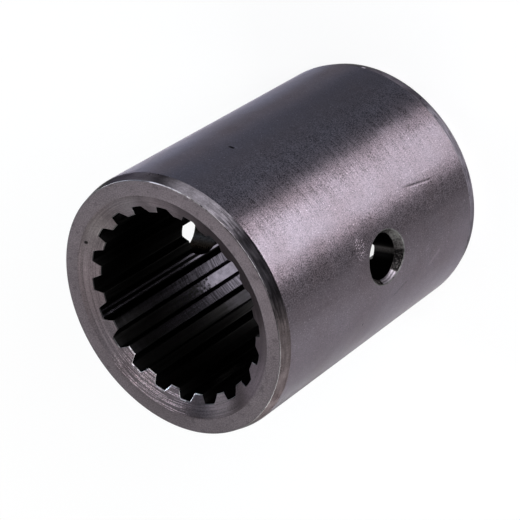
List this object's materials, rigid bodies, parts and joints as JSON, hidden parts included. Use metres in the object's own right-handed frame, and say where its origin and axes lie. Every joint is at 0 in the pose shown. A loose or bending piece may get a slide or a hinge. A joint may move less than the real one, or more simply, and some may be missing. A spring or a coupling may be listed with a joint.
{
  "type": "splined shaft coupling",
  "caption": "Cylindrical steel sleeve with an internal involute spline running its whole length, conical lead-ins, bevelled ends, and a countersunk hole drilled across for a retaining pin.",
  "frame": {"origin": "on the bore axis, at the centre of the end face that the sleeve stands on", "axes": "+Z along the bore axis to the other end, +X along the pin hole, which crosses the bore axis"},
  "size_m": [0.043, 0.043, 0.053],
  "materials": {
    "machined_steel": "fine-turned dark grey steel, lightly oiled, satin, with dark bevels and a dark broached bore"
  },
  "bodies": {
    "root": {"splined_sleeve": "machined_steel"}
  },
  "joints": []
}
